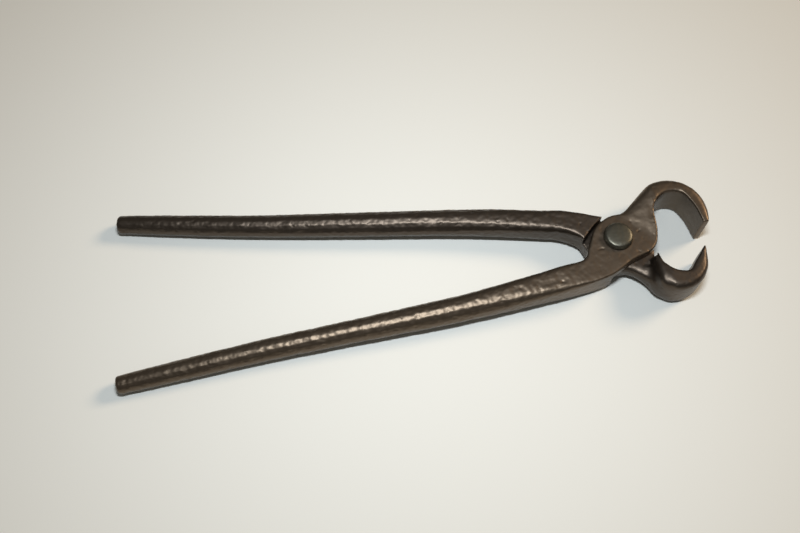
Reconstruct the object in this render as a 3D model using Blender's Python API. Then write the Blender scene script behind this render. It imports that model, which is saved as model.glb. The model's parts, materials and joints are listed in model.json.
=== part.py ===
"""Hoof nipper: two hand-forged steel halves that cross in a lap joint, held by one rivet.

Each half is one forging: a tapered rein to hold, a flat boss round the rivet hole, and a hooked jaw.
It is made as a loft of rounded-rectangle sections, and the half of the boss that the other half
lies in is then cut away. Lengths are in millimetres until a mesh is made.

Tool frame: the rivet's axis is the origin, +X is the middle line between the reins, toward the jaws,
and z = 0 is the middle of both reins; the bosses meet a little above it. The upper half has its rein
at -Y and its jaw at +Y.
The lower half is written the same way, and turned over about X.
"""

import math

import bmesh
import bpy
import numpy as np
from mathutils import Matrix, Vector

MM = 0.001

# Driving dimensions of the joint and the jaws.
BOSS_HALF_THICKNESS = 8.5
JAW_HALF_WIDTH = 12.0
LAP_HEIGHT = 2.0
LAP_GAP = 0.3

# Rivet: a low pan head above, a peened dome below.
SHANK_RADIUS = 4.75
HOLE_RADIUS = 5.05
HEAD_RADIUS = 8.9
HEAD_FACE_RADIUS = 6.6
HEAD_HEIGHT = 3.5
HEAD_SIDE = 0.8
DOME_RADIUS = 7.8
DOME_HEIGHT = 1.3
RIVET_GAP = 0.3

# Edge rounding of the forgings.
REIN_END_ROUND = 2.0
BOSS_EDGE = 1.2
JAW_BACK_EDGE = 4.0
JAW_THROAT_EDGE = 0.8
TIP_EDGE = 0.3

# Fineness of the mesh.
POINTS_PER_CORNER = 5
REIN_STEP = 9.0
HEAD_STEP = 2.2
ROUND_STEPS = 48

# How far the cutting prisms reach, and the middle of the open throat, where they stop.
FAR = 60.0
THROAT_MIDDLE = 34.0

# Upper half.
# Rein rows: along, across, width, height, corner radius.
# Boss rows: direction and radius of the left side about the rivet, then the point on the right side.
# Room rows: direction and radius of the shoulder that the other half's boss turns in, then the jaw's step.
UPPER = {
    "rein": [
        (-291.8, -51.1, 10.9, 10.9, 5.4),
        (-269.5, -48.2, 11.8, 11.8, 5.9),
        (-212.9, -41.1, 12.9, 12.9, 6.4),
        (-167.0, -36.5, 13.6, 13.6, 6.8),
        (-97.1, -29.8, 15.6, 15.6, 7.6),
        (-73.3, -26.7, 15.8, 16.1, 6.2),
        (-49.3, -23.2, 16.1, 16.7, 4.4),
        (-35.0, -21.0, 16.4, 17.0, 3.0),
    ],
    "boss": [
        (206.0, 23.6, (-18.5, -26.2)),
        (194.0, 19.3, (-9.0, -23.6)),
        (176.0, 15.8, (-1.4, -19.9)),
        (154.0, 14.7, (5.2, -15.7)),
        (129.0, 14.1, (11.8, -13.2)),
        (105.0, 14.4, (18.0, -10.7)),
    ],
    "neck": [((2.2, 15.5), (22.2, -5.8)), ((7.6, 17.3), (23.9, 0.6)), ((12.6, 22.0), (24.4, 7.2))],
    "back_centre": (33.6, 11.2),
    "back_radius": 22.2,
    "back_angles": (140.0, 119.0, 97.0, 75.0, 54.0, 33.0, 12.0, -7.0),
    "throat_centre": (36.3, 12.2),
    "throat_radius": 12.0,
    "throat_angles": (174.0, 151.0, 128.0, 104.0, 80.0, 55.0),
    "bevel": [(46.8, 15.9), (48.9, 9.4)],
    "tip": ((53.9, 2.0), (50.4, 1.9)),
    "room": [(190.0, 21.8), (197.0, 20.8), (204.0, 19.6), (211.0, 19.2), (250.5, 19.2)],
    "step": [(17.4, 15.6), (25.3, 12.4)],
}

# Lower half, written as if it were the upper one.
LOWER = {
    "rein": [
        (-292.0, -50.0, 11.2, 11.2, 5.6),
        (-268.7, -46.6, 12.4, 12.4, 6.2),
        (-208.6, -38.2, 13.7, 13.7, 6.8),
        (-160.7, -32.9, 14.8, 14.8, 7.4),
        (-89.0, -25.2, 15.8, 15.9, 7.2),
        (-65.3, -21.8, 15.4, 16.3, 5.6),
        (-41.7, -17.6, 14.6, 16.8, 4.0),
        (-30.0, -15.5, 14.8, 17.0, 3.0),
    ],
    "boss": [
        (187.0, 21.1, (-17.5, -18.7)),
        (170.0, 18.5, (-8.5, -15.5)),
        (151.0, 18.5, (0.0, -13.2)),
        (131.0, 18.5, (8.0, -12.2)),
        (112.0, 18.5, (15.0, -9.6)),
        (95.0, 18.5, (19.4, -4.4)),
    ],
    "neck": [((4.0, 18.7), (20.6, 1.4)), ((9.4, 22.4), (21.0, 6.4)), ((14.6, 27.4), (21.4, 11.2))],
    "back_centre": (29.6, 19.2),
    "back_radius": 18.4,
    "back_angles": (137.0, 117.0, 97.0, 76.0, 54.0, 32.0, 11.0, -6.0),
    "throat_centre": (33.5, 14.4),
    "throat_radius": 12.0,
    "throat_angles": (172.0, 154.0, 135.0, 116.0, 98.0, 80.0),
    "bevel": [(39.8, 21.1), (43.9, 16.4)],
    "tip": ((48.1, 13.0), (47.2, 12.3)),
    "room": [(180.0, 20.5), (195.0, 17.3), (210.0, 15.8), (229.0, 14.9), (249.0, 15.8)],
    "step": [(17.3, 14.6), (20.4, 12.4)],
}


def polar(centre, radius, degrees):
    """A point on a circle."""
    angle = math.radians(degrees)
    return (centre[0] + radius * math.cos(angle), centre[1] + radius * math.sin(angle))


def rein_sections(rows):
    """Sections across the rein, square to its middle line, with a rounded free end."""
    middle = np.array([row[:2] for row in rows])
    run = np.gradient(middle, axis=0)
    run /= np.linalg.norm(run, axis=1)[:, None]
    sections = []
    for (along, across, width, height, corner), (dx, dy) in zip(rows, run):
        side = np.array([-dy, dx]) * width / 2.0
        left = (along + side[0], across + side[1])
        right = (along - side[0], across - side[1])
        sections.append((*left, *right, height / 2.0, corner, corner))
    return sections


def head_sections(half):
    """Sections across the boss and the jaw, from the rein to the cutting edge."""
    sections = []
    for direction, radius, right in half["boss"]:
        left = polar((0.0, 0.0), radius, direction)
        sections.append((*left, *right, BOSS_HALF_THICKNESS, BOSS_EDGE, BOSS_EDGE))
    growth = np.linspace(0.0, 1.0, len(half["neck"]) + 2)
    for (left, right), part in zip(half["neck"], growth):
        half_height = BOSS_HALF_THICKNESS + part * (JAW_HALF_WIDTH - BOSS_HALF_THICKNESS)
        back_edge = BOSS_EDGE + part * (JAW_BACK_EDGE - BOSS_EDGE)
        sections.append((*left, *right, half_height, back_edge, BOSS_EDGE))
    backs = [polar(half["back_centre"], half["back_radius"], angle) for angle in half["back_angles"]]
    throats = [polar(half["throat_centre"], half["throat_radius"], angle) for angle in half["throat_angles"]]
    root_height = BOSS_HALF_THICKNESS + growth[-2] * (JAW_HALF_WIDTH - BOSS_HALF_THICKNESS)
    heights = [root_height] + [JAW_HALF_WIDTH] * (len(backs) - 1)
    for left, right, half_height in zip(backs, throats + half["bevel"], heights):
        sections.append((*left, *right, half_height, JAW_BACK_EDGE, JAW_THROAT_EDGE))
    left, right = half["tip"]
    sections.append((*left, *right, JAW_HALF_WIDTH - TIP_EDGE, TIP_EDGE, TIP_EDGE))
    return sections


def smooth_run(sections, step_of):
    """Sections closer together, on a centripetal Catmull-Rom curve through the given ones."""
    keys = np.array(sections, dtype=float)
    keys = np.vstack([2.0 * keys[0] - keys[1], keys, 2.0 * keys[-1] - keys[-2]])
    knots = np.concatenate([[0.0], np.cumsum(np.linalg.norm(np.diff(keys[:, :4], axis=0), axis=1) ** 0.5)])
    run = [keys[1]]
    for i in range(1, len(keys) - 2):
        t0, t1, t2, t3 = knots[i - 1 : i + 3]
        p0, p1, p2, p3 = keys[i - 1 : i + 3]
        count = max(1, round(np.linalg.norm(p2[:4] - p1[:4]) / math.sqrt(2.0) / step_of(p1)))
        for t in np.linspace(t1, t2, count + 1)[1:]:
            a1 = ((t1 - t) * p0 + (t - t0) * p1) / (t1 - t0)
            a2 = ((t2 - t) * p1 + (t - t1) * p2) / (t2 - t1)
            a3 = ((t3 - t) * p2 + (t - t2) * p3) / (t3 - t2)
            b1 = ((t2 - t) * a1 + (t - t0) * a2) / (t2 - t0)
            b2 = ((t3 - t) * a2 + (t - t1) * a3) / (t3 - t1)
            run.append(((t2 - t) * b1 + (t - t1) * b2) / (t2 - t1))
    return run


def rounded_end(section, toward):
    """The rein's free end: sections that shrink over a quarter circle, back from the given one."""
    ends = []
    for degrees in (0.0, 30.0, 60.0):
        angle = math.radians(degrees)
        inset = REIN_END_ROUND * (1.0 - math.sin(angle))
        back = REIN_END_ROUND * (1.0 - math.cos(angle))
        left, right = np.array(section[0:2]), np.array(section[2:4])
        across = (left - right) / np.linalg.norm(left - right)
        shift = -np.array(toward) * (REIN_END_ROUND - back)
        left = left - across * inset + shift
        right = right + across * inset + shift
        ends.append((*left, *right, section[4] - inset, section[5] - inset, section[6] - inset))
    return ends


def ring(section):
    """Corner points of one rounded-rectangle section, in order round the bar."""
    left, right = np.array(section[0:2]), np.array(section[2:4])
    half_height, left_round, right_round = section[4:7]
    width = np.linalg.norm(left - right)
    across = (left - right) / width
    middle = (left + right) / 2.0
    largest = 0.97 * min(width / 2.0, half_height)
    rounds = (min(left_round, largest), min(right_round, largest))
    points = []
    for quarter, (side, level) in enumerate(((1, 1), (-1, 1), (-1, -1), (1, -1))):
        radius = rounds[0] if side == 1 else rounds[1]
        for i in range(POINTS_PER_CORNER):
            angle = math.radians(90.0 * (quarter + i / (POINTS_PER_CORNER - 1)))
            offset = side * (width / 2.0 - radius) + radius * math.cos(angle)
            height = level * (half_height - radius) + radius * math.sin(angle)
            x, y = middle + across * offset
            points.append((x, y, height))
    return points


def new_object(name, bm):
    """A mesh object in metres, with its faces pointing out."""
    bmesh.ops.recalc_face_normals(bm, faces=bm.faces)
    mesh = bpy.data.meshes.new(name)
    bm.to_mesh(mesh)
    bm.free()
    mesh.transform(Matrix.Scale(MM, 4))
    obj = bpy.data.objects.new(name, mesh)
    bpy.context.scene.collection.objects.link(obj)
    return obj


def loft(name, sections):
    """One closed body through all the sections, with a flat cap on each end."""
    bm = bmesh.new()
    rings = [[bm.verts.new(point) for point in ring(section)] for section in sections]
    for first, second in zip(rings, rings[1:]):
        for i in range(len(first)):
            j = (i + 1) % len(first)
            bm.faces.new((first[i], first[j], second[j], second[i]))
    bm.faces.new(rings[0])
    bm.faces.new(rings[-1])
    return new_object(name, bm)


def cutter(name, outline, low, high):
    """An upright prism that a Boolean takes away."""
    bm = bmesh.new()
    face = bm.faces.new([bm.verts.new((x, y, low)) for x, y in outline])
    walls = bmesh.ops.extrude_face_region(bm, geom=[face])
    raised = [item for item in walls["geom"] if isinstance(item, bmesh.types.BMVert)]
    bmesh.ops.translate(bm, verts=raised, vec=(0.0, 0.0, high - low))
    obj = new_object(name, bm)
    obj.hide_render = True
    obj.display_type = "WIRE"
    return obj


def room_outline(half):
    """Plan of the room that the other half's boss turns in, from the rein side round to the jaw side."""
    directions, radii = zip(*half["room"])
    fine = np.linspace(directions[-1], directions[0], ROUND_STEPS // 4)
    shoulder = [polar((0.0, 0.0), np.interp(angle, directions, radii), angle) for angle in fine]
    step = half["step"]
    return [
        (shoulder[0][0], -FAR),
        *shoulder,
        (-FAR, shoulder[-1][1]),
        (-FAR, FAR),
        (step[0][0], FAR),
        *step,
        (THROAT_MIDDLE, step[-1][1]),
        (THROAT_MIDDLE, -FAR),
    ]


def cut(obj, tool):
    """Take the tool's shape away from the object."""
    boolean = obj.modifiers.new(tool.name, "BOOLEAN")
    boolean.operation = "DIFFERENCE"
    boolean.solver = "EXACT"
    boolean.object = tool


def forged_half(name, half, lap):
    """One whole half: loft, room for the other half's boss below its lap face, and rivet hole."""
    keys = rein_sections(half["rein"]) + head_sections(half)
    run = smooth_run(keys, lambda key: REIN_STEP if key[0] < -FAR else HEAD_STEP)
    toward = np.subtract(half["rein"][1][:2], half["rein"][0][:2])
    run = rounded_end(run[0], toward / np.linalg.norm(toward)) + run
    obj = loft(name, run)
    room = cutter(name + "_room", room_outline(half), -FAR, lap + LAP_GAP / 2.0)
    circle = [polar((0.0, 0.0), HOLE_RADIUS, 360.0 * i / ROUND_STEPS) for i in range(ROUND_STEPS)]
    hole = cutter(name + "_hole", circle, -FAR, FAR)
    for tool in (room, hole):
        cut(obj, tool)
        tool.parent = obj
    return obj


def turned(name, profile):
    """A solid of revolution about Z from its (radius, z) profile, which starts and ends on the axis."""
    bm = bmesh.new()
    points = [bm.verts.new((radius, 0.0, z)) for radius, z in profile]
    edges = [bm.edges.new(pair) for pair in zip(points, points[1:])]
    bmesh.ops.spin(
        bm,
        geom=points + edges,
        cent=(0.0, 0.0, 0.0),
        axis=(0.0, 0.0, 1.0),
        angle=math.tau,
        steps=ROUND_STEPS,
        use_merge=True,
    )
    bmesh.ops.remove_doubles(bm, verts=bm.verts, dist=0.0001)
    return new_object(name, bm)


def rivet():
    """The pivot: pan head on the upper half, shank through both, peened dome under the lower half."""
    seat = BOSS_HALF_THICKNESS + RIVET_GAP
    profile = [(0.0, seat + HEAD_HEIGHT), (HEAD_FACE_RADIUS, seat + HEAD_HEIGHT)]
    fall = HEAD_HEIGHT - HEAD_SIDE
    for degrees in (30.0, 60.0, 90.0):
        angle = math.radians(degrees)
        radius = HEAD_FACE_RADIUS + (HEAD_RADIUS - HEAD_FACE_RADIUS) * math.sin(angle)
        profile.append((radius, seat + HEAD_SIDE + fall * math.cos(angle)))
    profile += [(HEAD_RADIUS, seat), (SHANK_RADIUS, seat), (SHANK_RADIUS, -seat), (DOME_RADIUS, -seat)]
    for degrees in (25.0, 50.0, 72.0):
        angle = math.radians(degrees)
        profile.append((DOME_RADIUS * math.cos(angle), -seat - DOME_HEIGHT * math.sin(angle)))
    profile.append((0.0, -seat - DOME_HEIGHT))
    return turned("pivot_rivet", profile)


def steel(name, colour, roughness):
    """A plain metal finish."""
    material = bpy.data.materials.new(name)
    material.use_nodes = True
    shader = material.node_tree.nodes["Principled BSDF"]
    shader.inputs["Base Color"].default_value = (*colour, 1.0)
    shader.inputs["Metallic"].default_value = 0.7
    shader.inputs["Roughness"].default_value = roughness
    return material


def finish(obj, material):
    """Smooth round surfaces, sharp corners, and one material."""
    obj.data.materials.append(material)
    obj.data.shade_smooth()
    obj.data.set_sharp_from_angle(angle=math.radians(35.0))


def shape_points(obj):
    """The finished object's corner points, in its parent's frame."""
    graph = bpy.context.evaluated_depsgraph_get()
    mesh = obj.evaluated_get(graph).to_mesh()
    return [obj.matrix_basis @ vertex.co for vertex in mesh.vertices]


def resting_lean(points):
    """Lean about Y at which the rein ends and the wider jaws both touch the bench."""
    lean = 0.0
    for _ in range(6):
        turn = Matrix.Rotation(lean, 3, "Y")
        end = min((p for p in points if p.x < 0.0), key=lambda p: (turn @ p).z)
        jaw = min((p for p in points if p.x > 0.0), key=lambda p: (turn @ p).z)
        lean = math.atan2(jaw.z - end.z, jaw.x - end.x)
    return lean


for old in list(bpy.data.objects):
    bpy.data.objects.remove(old)

upper = forged_half("upper_half", UPPER, LAP_HEIGHT)
lower = forged_half("lower_half", LOWER, -LAP_HEIGHT)
pin = rivet()
lower.rotation_euler = (math.pi, 0.0, 0.0)
finish(upper, steel("forged_steel_brown_patina", (0.125, 0.095, 0.065), 0.5))
finish(lower, steel("forged_steel_dark_patina", (0.085, 0.065, 0.052), 0.5))
finish(pin, steel("rivet_steel_worn", (0.11, 0.10, 0.08), 0.45))

frame = bpy.data.objects.new("nipper_frame", None)
bpy.context.scene.collection.objects.link(frame)
for piece in (upper, lower, pin):
    piece.parent = frame

# The nipper lies on the bench on its jaws and its rein ends, with the origin under the middle of it.
bpy.context.view_layer.update()
corners = shape_points(upper) + shape_points(lower) + shape_points(pin)
lean = resting_lean(corners)
turn = Matrix.Rotation(lean, 3, "Y")
placed = [turn @ corner for corner in corners]
low = Vector(min(point[i] for point in placed) for i in range(3))
high = Vector(max(point[i] for point in placed) for i in range(3))
frame.rotation_euler = (0.0, lean, 0.0)
frame.location = (-(low.x + high.x) / 2.0, -(low.y + high.y) / 2.0, -low.z)
bpy.context.view_layer.update()
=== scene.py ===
"""Hoof nipper: two hand-forged steel halves on one rivet, lying part open on a pale bench top."""

import json
import math

import bpy
import numpy as np
from mathutils import Matrix, Vector, noise
from mathutils.bvhtree import BVHTree


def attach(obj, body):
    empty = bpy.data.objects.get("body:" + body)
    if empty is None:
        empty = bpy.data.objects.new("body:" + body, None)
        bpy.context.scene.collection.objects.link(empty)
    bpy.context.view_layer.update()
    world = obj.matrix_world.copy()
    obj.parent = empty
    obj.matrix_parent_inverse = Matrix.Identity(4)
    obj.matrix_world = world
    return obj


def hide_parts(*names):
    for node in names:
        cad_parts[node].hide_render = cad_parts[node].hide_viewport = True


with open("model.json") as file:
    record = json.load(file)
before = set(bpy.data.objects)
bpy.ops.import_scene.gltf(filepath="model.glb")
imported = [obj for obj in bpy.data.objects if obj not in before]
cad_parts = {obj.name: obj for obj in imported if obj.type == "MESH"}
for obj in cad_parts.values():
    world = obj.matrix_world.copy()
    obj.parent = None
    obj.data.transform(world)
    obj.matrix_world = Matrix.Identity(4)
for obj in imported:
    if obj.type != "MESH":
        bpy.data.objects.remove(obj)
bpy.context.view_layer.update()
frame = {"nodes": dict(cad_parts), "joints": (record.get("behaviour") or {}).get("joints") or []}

# ---------------------------------------------------------------------------------------------
# The upper half, and how both halves are made. Each is one bar of plain carbon steel, drawn out
# under the hammer into a long rein, flattened round the rivet hole, and hooked into a jaw that is
# filed to a cutting edge. The hammer leaves shallow facets, and rust and oil a lumpy brown skin.
# ---------------------------------------------------------------------------------------------

MM = 0.001
SKIN_CELL = 0.52 * MM
SKIN_SMOOTHING = 8

# The tool's own frame: the rivet's axis is its Z, and +X runs toward the jaws.
hinge = frame["joints"][0]
tool_frame = Vector((0.0, 0.0, 1.0)).rotation_difference(Vector(hinge["axis"])).to_matrix().to_4x4()
tool_frame.translation = hinge["pos_m"]


def skin_of(node, smoothing):
    """The solid's surface as an even mesh of small cells, with its edges softened as by wear."""
    source = frame["nodes"][node]
    piece = bpy.data.objects.new(node + "_blank", source.data.copy())
    bpy.context.scene.collection.objects.link(piece)
    remesh = piece.modifiers.new("even_cells", "REMESH")
    remesh.mode = "VOXEL"
    remesh.voxel_size = SKIN_CELL
    soften = piece.modifiers.new("soften", "SMOOTH")
    soften.factor = 0.5
    soften.iterations = smoothing
    graph = bpy.context.evaluated_depsgraph_get()
    mesh = bpy.data.meshes.new_from_object(piece.evaluated_get(graph))
    bpy.data.objects.remove(piece)
    mesh.transform(tool_frame.inverted())
    return mesh


def read_vectors(items, field):
    """One vector of each vertex as the rows of an array."""
    values = np.empty(len(items) * 3)
    items.foreach_get(field, values)
    return values.reshape(-1, 3)


def step(values, start, end):
    """0 before start, 1 after end, and a smooth rise between them."""
    t = np.clip((values - start) / (end - start), 0.0, 1.0)
    return t * t * (3.0 - 2.0 * t)


def relief(points, size, seed):
    """Smooth random heights, about -1 to 1, with lumps of the given size in millimetres."""
    shift = Vector((seed * 17.3, seed * -9.1, seed * 5.7))
    return np.array([noise.noise(Vector(p) / (size * MM) + shift) for p in points])


def hammer_marks(points, size, seed):
    """Shallow dished facets, 0 on their rims and 1 in their middles, of the given size."""
    shift = Vector((seed * 3.1, seed * 7.7, seed * -2.9))
    heights = []
    for p in points:
        distances = noise.voronoi(Vector(p) / (size * MM) + shift)[0]
        heights.append(min(1.0, distances[1] - distances[0]))
    return np.array(heights)


def even_out(points, edges, rounds):
    """Average each point with its neighbours along the mesh's edges."""
    count = len(points)
    degree = np.bincount(edges.ravel(), minlength=count)
    points = points.copy()
    for _ in range(rounds):
        for column in points.T:
            total = np.bincount(edges[:, 0], column[edges[:, 1]], count)
            total += np.bincount(edges[:, 1], column[edges[:, 0]], count)
            column[:] = 0.5 * column + 0.5 * total / degree
    return points


def closeness(points, nodes, reach):
    """1 where another piece's surface touches, and 0 where it is as far as reach in millimetres."""
    near = np.zeros(len(points))
    for node in nodes:
        mesh = frame["nodes"][node].data
        corners = [tool_frame.inverted() @ vertex.co for vertex in mesh.vertices]
        tree = BVHTree.FromPolygons(corners, [face.vertices for face in mesh.polygons])
        for i, p in enumerate(points):
            if p[0] * p[0] + p[1] * p[1] < (32.0 * MM) ** 2:
                distance = tree.find_nearest(p, reach * MM)[3]
                if distance is not None:
                    near[i] = max(near[i], 1.0 - distance / (reach * MM))
    return near


def paint(mesh, name, values):
    """Keep a mask on the mesh's points, from 0 to 1, for the material to read by name."""
    attribute = mesh.attributes.new(name, "FLOAT", "POINT")
    attribute.data.foreach_set("value", np.clip(values, 0.0, 1.0).astype(np.float32))


# Sizes across and heights of what hammer and rust leave on the skin, all in millimetres.
LUMP, LUMP_HEIGHT = 2.6, 0.17
GRIT, GRIT_HEIGHT = 1.4, 0.06
SWELL, SWELL_HEIGHT = 11.0, 0.12
FACET, FACET_HEIGHT = 9.0, 0.16
PIT, PIT_DEPTH = 2.2, 0.6
MOST_RAISED = 0.12
SUNK_BY = 0.08

# Rounds of evening out: a few for a worn edge, many for the slope at the root of the jaw.
WORN_ROUNDS = 24
ROOT_ROUNDS = 120

RUBBED_RING = 11.2
CONTACT_REACH = 6.0

# The brown is left on faces that look up, leaning a little to the far side the window lights. The rest is
# flank, painted near black: partly the steel's own dark scale, partly painted shade on sides turned from
# the light.
LIGHT_LEAN = math.radians(10.0)
UP_TOWARD_LIGHT = Vector((math.sin(LIGHT_LEAN), math.cos(LIGHT_LEAN)))


def forge(name, node, others, throat, turned_over, seed):
    """One half: the solid's skin with hammer facets, lumps and rust pits, and masks of its wear and
    grime, of painted shade and of painted light. Steps in x, y and z are places along the half in
    millimetres from the rivet."""
    mesh = skin_of(node, SKIN_SMOOTHING)
    points = read_vectors(mesh.vertices, "co")
    normals = read_vectors(mesh.vertices, "normal")
    edges = np.empty(len(mesh.edges) * 2, dtype=int)
    mesh.edges.foreach_get("vertices", edges)
    edges = edges.reshape(-1, 2)

    # Both halves are read the same way up, in millimetres: rein at -Y, jaw at +Y, lap face down.
    flip = np.array((1.0, -1.0, -1.0)) if turned_over else np.ones(3)
    x, y, z = (points * flip / MM).T
    facing = normals * flip
    from_rivet = np.hypot(x, y)
    from_throat = np.hypot(x - throat[0], y - throat[1])
    inward = -(facing[:, 0] * (x - throat[0]) + facing[:, 1] * (y - throat[1])) / from_throat
    filed = step(inward, 0.45, 0.8) * step(-from_throat, -19.0, -16.0) * step(x, 24.0, 27.0)

    # The throat's rims, the rein's square root and the root of the jaw are rounded off, inward only.
    # The jaw's step runs out in a soft slope where the other half never comes.
    worn_soft = even_out(points, edges, WORN_ROUNDS)
    very_soft = even_out(worn_soft, edges, ROOT_ROUNDS)
    bulge = np.einsum("ij,ij->i", points - worn_soft, normals) / MM
    rim = step(-from_throat, -17.0, -14.0) * step(x, 22.0, 26.0) * step(-x, -46.0, -42.0)
    root = step(x, -2.0, 4.0) * step(-x, -26.0, -20.0) * step(y, 8.0, 12.0) * step(from_rivet, 14.0, 17.0)
    shank = step(-x, 16.0, 26.0) * step(x, -62.0, -48.0)
    for softer, where in ((worn_soft, np.maximum(rim, shank)), (very_soft, root)):
        fall = np.minimum(np.einsum("ij,ij->i", softer - points, normals), 0.0)
        points = points + normals * (fall * where)[:, None]
    slope = root * step(y, 16.5, 19.0) * step(-z, -4.0, 0.0)
    points = points + (very_soft - points) * slope[:, None]

    # Facets and swells run everywhere. Lumps and pits fade on filed faces, lumps also on the head.
    lumps = relief(points, LUMP, seed) * LUMP_HEIGHT + relief(points, GRIT, seed + 1) * GRIT_HEIGHT
    swells = relief(points, SWELL, seed + 2) * SWELL_HEIGHT
    facets = hammer_marks(points, FACET, seed + 3)
    pits = np.clip(relief(points, PIT, seed + 4) - 0.42, 0.0, 1.0) * PIT_DEPTH
    rough = 1.0 - 0.8 * filed
    lumps *= 0.4 + 0.6 * step(-x, 5.0, 50.0)
    raised = FACET_HEIGHT * facets + swells - 0.12 - pits * rough + lumps * rough
    points = points + normals * (np.minimum(raised, MOST_RAISED) - SUNK_BY)[:, None] * MM
    mesh.vertices.foreach_set("co", points.ravel())

    # A bright ring of wear round the rivet, and painted light on the jaw's step where it faces away from
    # the lamps. Grime in hollows and pits, and painted shade where the other pieces come close and in the
    # lap's groove.
    ring = np.exp(-(((from_rivet - RUBBED_RING) / 1.5) ** 2)) * step(np.abs(z), 6.5, 7.5)
    # Painted shade between the pieces: darker the closer another piece lies, and black in the lap's
    # groove.
    near = closeness(points, others, CONTACT_REACH)
    painted_shade_in_groove = step(near, 0.05, 0.3) * step(-x, 2.0, 5.0) * step(-np.abs(z), -7.6, -6.4)
    # Painted light: the step's wall facing back toward the rivet is lightened, as no lamp reaches it and
    # the other half never rubs it.
    painted_light_on_step = root * step(-normals[:, 0], 0.4, 0.8)
    paint(mesh, "wear_and_painted_light", 0.4 * ring + 0.5 * painted_light_on_step)
    hollow = -bulge * (3.0 - 2.6 * root) + pits * 1.5
    # Grime in hollows and rust pits, plus the painted shade near the other pieces and in the groove.
    paint(mesh, "grime_and_painted_shade", hollow + 0.8 * step(near, 0.6, 0.95) + painted_shade_in_groove)
    paint(mesh, "filed", np.maximum(filed, 0.7 * step(x, 10.0, 32.0)))
    paint(mesh, "warm", step(x, -75.0, -20.0) * step(-x, -30.0, -10.0))
    paint(mesh, "handled", step(-x, 50.0, 290.0))
    # Flank: near black where a face turns from up, partly the steel's dark scale and partly painted shade
    # on sides the lamps barely reach.
    along_up_toward_light = np.abs(normals[:, 2] * UP_TOWARD_LIGHT.y + normals[:, 1] * UP_TOWARD_LIGHT.x)
    paint(mesh, "flank_and_painted_shade", step(-along_up_toward_light, -0.955, -0.88) * (1.0 - root))
    mesh.transform(tool_frame)
    mesh.shade_smooth()
    piece = bpy.data.objects.new(name, mesh)
    bpy.context.scene.collection.objects.link(piece)
    return piece


def colour(hex_code):
    """An sRGB hex colour as linear RGBA."""
    channels = [int(hex_code[i : i + 2], 16) / 255.0 for i in (1, 3, 5)]
    linear = [c / 12.92 if c <= 0.04045 else ((c + 0.055) / 1.055) ** 2.4 for c in channels]
    return (*linear, 1.0)


def add(tree, kind, settings, links, output=0):
    """A shader node with its settings, and its inputs by name or number. Gives one output."""
    node = tree.nodes.new(kind)
    for key, value in settings.items():
        setattr(node, key, value)
    inputs = [socket for socket in node.inputs if socket.enabled]
    for key, value in links.items():
        socket = inputs[key] if isinstance(key, int) else next(s for s in inputs if s.name == key)
        if isinstance(value, bpy.types.NodeSocket):
            tree.links.new(value, socket)
        else:
            socket.default_value = value
    outputs = [socket for socket in node.outputs if socket.enabled]
    return outputs[output] if isinstance(output, int) else node.outputs[output]


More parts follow.
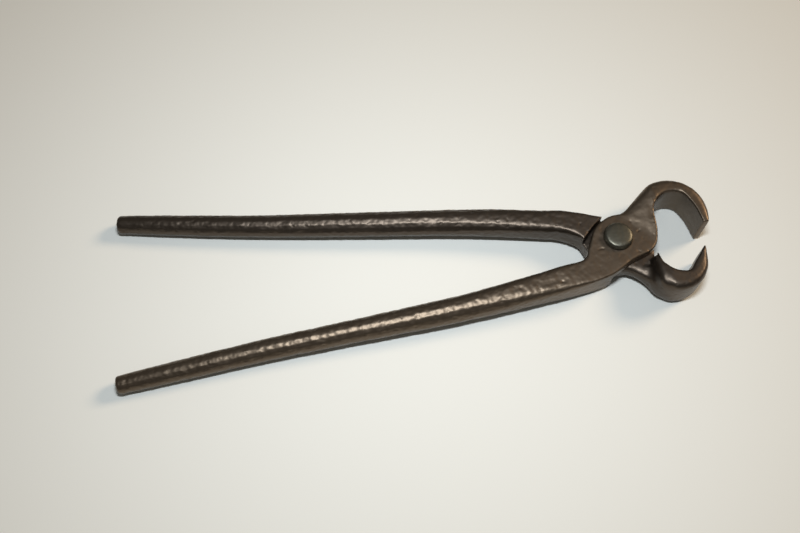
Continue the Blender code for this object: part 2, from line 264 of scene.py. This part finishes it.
def oiled_rust_on_steel(name, dark, brown, golden, oil):
    """Forged carbon steel under a skin of old rust and oil, in its dark, brown and golden places.
    The rust is dull, with a faint mottle. The oil film over it gives small bright glints along
    the rounded shoulders. The flanks are near black, partly dark scale and partly painted shade.
    The rubbed tone also paints light on the jaw's step, and the grime tone paints shade between pieces."""
    material = bpy.data.materials.new(name)
    material.use_nodes = True
    tree = material.node_tree
    shader = tree.nodes["Principled BSDF"]
    blend = {"data_type": "RGBA"}
    fade = {"interpolation_type": "SMOOTHSTEP"}
    place = add(tree, "ShaderNodeTexCoord", {}, {}, "Object")
    # Real rust is grained at about 1 mm. It is drawn at 2.2 mm, as a finer one would not show.
    grain_size = {"Vector": place, "Scale": 1.0 / (2.2 * MM), "Detail": 1.5, "Roughness": 0.6}
    grain = add(tree, "ShaderNodeTexNoise", {}, grain_size)
    cloud_size = {"Vector": place, "Scale": 1.0 / (7.0 * MM), "Detail": 2.0, "Roughness": 0.6}
    clouds = add(tree, "ShaderNodeTexNoise", {}, cloud_size)
    masks = {}
    for mask in ("wear_and_painted_light", "grime_and_painted_shade", "filed", "warm", "handled", "flank_and_painted_shade"):
        masks[mask] = add(tree, "ShaderNodeAttribute", {"attribute_name": mask}, {}, "Fac")

    spots = add(tree, "ShaderNodeMapRange", fade, {0: grain, 1: 0.40, 2: 0.60})
    patches = add(tree, "ShaderNodeMapRange", fade, {0: clouds, 1: 0.44, 2: 0.60})
    gilt = add(tree, "ShaderNodeMath", {"operation": "MULTIPLY"}, {0: patches, 1: masks["warm"]})
    tones = []
    for low, high in (dark, brown, golden):
        tone = {"Factor": spots, "A": colour(low), "B": colour(high)}
        tones.append(add(tree, "ShaderNodeMix", blend, tone))
    skin = add(tree, "ShaderNodeMix", blend, {"Factor": gilt, "A": tones[1], "B": tones[2]})
    skin = add(tree, "ShaderNodeMix", blend, {"Factor": masks["handled"], "A": skin, "B": tones[0]})
    grey = {"Factor": spots, "A": colour("#1c201f"), "B": colour("#3d423e")}
    filed = add(tree, "ShaderNodeMix", blend, grey)
    skin = add(tree, "ShaderNodeMix", blend, {"Factor": masks["filed"], "A": skin, "B": filed})
    # Near black on flanks (dark scale and painted shade), a light tone for the rubbed ring and the
    # painted light on the step, and near black for grime and the painted shade between pieces.
    for mask, tone in (("flank_and_painted_shade", "#151213"), ("wear_and_painted_light", "#7d7668"), ("grime_and_painted_shade", "#110e0d")):
        skin = add(tree, "ShaderNodeMix", blend, {"Factor": masks[mask], "A": skin, "B": colour(tone)})
    tree.links.new(skin, shader.inputs["Base Color"])

    dull = add(tree, "ShaderNodeMapRange", {}, {0: grain, 1: 0.3, 2: 0.7, 3: 0.75, 4: 0.5})
    tree.links.new(dull, shader.inputs["Roughness"])
    bump = {"Height": grain, "Strength": 0.7, "Distance": 0.25 * MM}
    lumpy = add(tree, "ShaderNodeBump", {}, bump)
    tree.links.new(lumpy, shader.inputs["Normal"])
    tree.links.new(lumpy, shader.inputs["Coat Normal"])
    shader.inputs["Coat Weight"].default_value = oil
    shader.inputs["Coat Roughness"].default_value = 0.15
    shader.inputs["Coat IOR"].default_value = 1.9
    return material


upper_throat = (36.3, 12.2)
upper = forge("upper_forging", "upper_half", ("lower_half", "pivot_rivet"), upper_throat, False, 3)
upper.data.materials.append(
    oiled_rust_on_steel(
        "forged_steel_brown_patina",
        ("#292325", "#726566"),
        ("#322e26", "#89806b"),
        ("#433925", "#a39161"),
        0.9,
    )
)
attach(upper, "upper")
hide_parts("upper_half")

# ---------------------------------------------------------------------------------------------
# The lower half. Its rein is darker, from oil and the hand, and its boss lies under the upper
# one. It is the same shape of forging turned over, so it is made by the same steps.
# ---------------------------------------------------------------------------------------------

lower_throat = (33.5, 14.4)
lower = forge("lower_forging", "lower_half", ("upper_half",), lower_throat, True, 8)
lower.data.materials.append(
    oiled_rust_on_steel(
        "forged_steel_dark_patina",
        ("#2d282b", "#7f7077"),
        ("#393130", "#92857a"),
        ("#473d30", "#aa9671"),
        0.9,
    )
)
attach(lower, "lower")
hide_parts("lower_half")

# ---------------------------------------------------------------------------------------------
# The rivet. A steel pin, hammered over at both ends: a low domed head on top, and a peened end
# underneath. It is tight in the lower half, and the upper half turns on it.
# ---------------------------------------------------------------------------------------------

FACE_RADIUS = 6.6
CROWN = 0.25

RIVET_SMOOTHING = 10
DENT, DENT_HEIGHT = 5.0, 0.07
NICK, NICK_HEIGHT = 1.6, 0.05
RIVET_SUNK_BY = 0.1

rivet_skin = skin_of("pivot_rivet", RIVET_SMOOTHING)
rivet_points = read_vectors(rivet_skin.vertices, "co")
rivet_normals = read_vectors(rivet_skin.vertices, "normal")
from_axis = np.hypot(rivet_points[:, 0], rivet_points[:, 1]) / MM
crown = CROWN * np.minimum(from_axis / FACE_RADIUS, 1.0) ** 2 * step(rivet_points[:, 2] / MM, 9.5, 10.5)
dents = hammer_marks(rivet_points, DENT, 21) * DENT_HEIGHT
dents += relief(rivet_points, NICK, 22) * NICK_HEIGHT
rivet_points = rivet_points + rivet_normals * (dents - RIVET_SUNK_BY - crown)[:, None] * MM
rivet_skin.vertices.foreach_set("co", rivet_points.ravel())
# The rivet's sides are painted near black: partly dark scale, partly painted shade.
paint(rivet_skin, "flank_and_painted_shade", step(-np.abs(rivet_normals[:, 2]), -0.93, -0.7))
# Painted shade where the rivet's head meets the upper half.
paint(rivet_skin, "grime_and_painted_shade", closeness(rivet_points, ("upper_half",), 1.5))
paint(rivet_skin, "filed", np.full(len(rivet_points), 0.2))
rivet_skin.transform(tool_frame)
rivet_skin.shade_smooth()
rivet = bpy.data.objects.new("pivot_rivet_hammered", rivet_skin)
bpy.context.scene.collection.objects.link(rivet)
rivet_skin.materials.append(
    oiled_rust_on_steel(
        "hammered_steel_grey_patina",
        ("#323029", "#5e5c52"),
        ("#302f28", "#65635a"),
        ("#302f28", "#65635a"),
        0.4,
    )
)
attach(rivet, "lower")
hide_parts("pivot_rivet")

# ---------------------------------------------------------------------------------------------
# The bench top: plain, pale and matt, like painted board.
# ---------------------------------------------------------------------------------------------

BENCH_REACH = 4.0

bench_mesh = bpy.data.meshes.new("bench_top")
bench_corners = []
for x, y in ((-1, -1), (1, -1), (1, 1), (-1, 1)):
    bench_corners.append((x * BENCH_REACH, y * BENCH_REACH, 0.0))
bench_mesh.from_pydata(bench_corners, [], [(0, 1, 2, 3)])
bench = bpy.data.objects.new("bench_top", bench_mesh)
bpy.context.scene.collection.objects.link(bench)
board = bpy.data.materials.new("painted_board_matt")
board.use_nodes = True
board_shader = board.node_tree.nodes["Principled BSDF"]
board_shader.inputs["Base Color"].default_value = colour("#ebeae3")
board_shader.inputs["Roughness"].default_value = 0.85
board_shader.inputs["Specular IOR Level"].default_value = 0.2
bench_mesh.materials.append(board)

# ---------------------------------------------------------------------------------------------
# Camera and light: one soft warm window on the far right, one long cool lamp over the tool.
# ---------------------------------------------------------------------------------------------

TILT = math.radians(24.5)
HEADING = math.radians(-6.79)
DISTANCE = 0.539
AIM = Vector((-127.39 * MM, -9.87 * MM, 0.0))

turn = Matrix.Rotation(HEADING, 3, "Z")
aim = turn @ AIM + Vector((tool_frame.translation.x, tool_frame.translation.y, 0.0))
camera_data = bpy.data.cameras.new("camera")
camera_data.lens = 40.5
camera_data.sensor_width = 36.0
camera = bpy.data.objects.new("camera", camera_data)
camera.location = aim + turn @ Vector((0.0, -DISTANCE * math.sin(TILT), DISTANCE * math.cos(TILT)))
camera.rotation_euler = (TILT, 0.0, HEADING)
bpy.context.scene.collection.objects.link(camera)
bpy.context.scene.camera = camera


def lamp(name, place, length, width, power, hex_code, spread):
    """A soft lamp aimed at the bench below the tool. Its place is from there, along the heading."""
    data = bpy.data.lights.new(name, "AREA")
    data.shape = "ELLIPSE"
    data.size = length
    data.size_y = width
    data.energy = power
    data.color = colour(hex_code)[:3]
    data.spread = math.radians(spread)
    light = bpy.data.objects.new(name, data)
    light.location = aim + turn @ Vector(place)
    light.rotation_euler = (math.atan2(-place[1], place[2]), math.atan2(place[0], place[2]), HEADING)
    bpy.context.scene.collection.objects.link(light)


lamp("window_far_right", (2.10, 1.00, 1.60), 0.9, 0.9, 38.0, "#ffe4c4", 180.0)
lamp("long_lamp_overhead", (0.02, -0.070, 0.60), 0.15, 0.025, 1.07, "#e9f2fa", 110.0)

world = bpy.data.worlds.new("room")
world.use_nodes = True
world.node_tree.nodes["Background"].inputs["Color"].default_value = colour("#f4f4ee")
world.node_tree.nodes["Background"].inputs["Strength"].default_value = 0.13
bpy.context.scene.world = world
bpy.context.scene.view_settings.view_transform = "Standard"
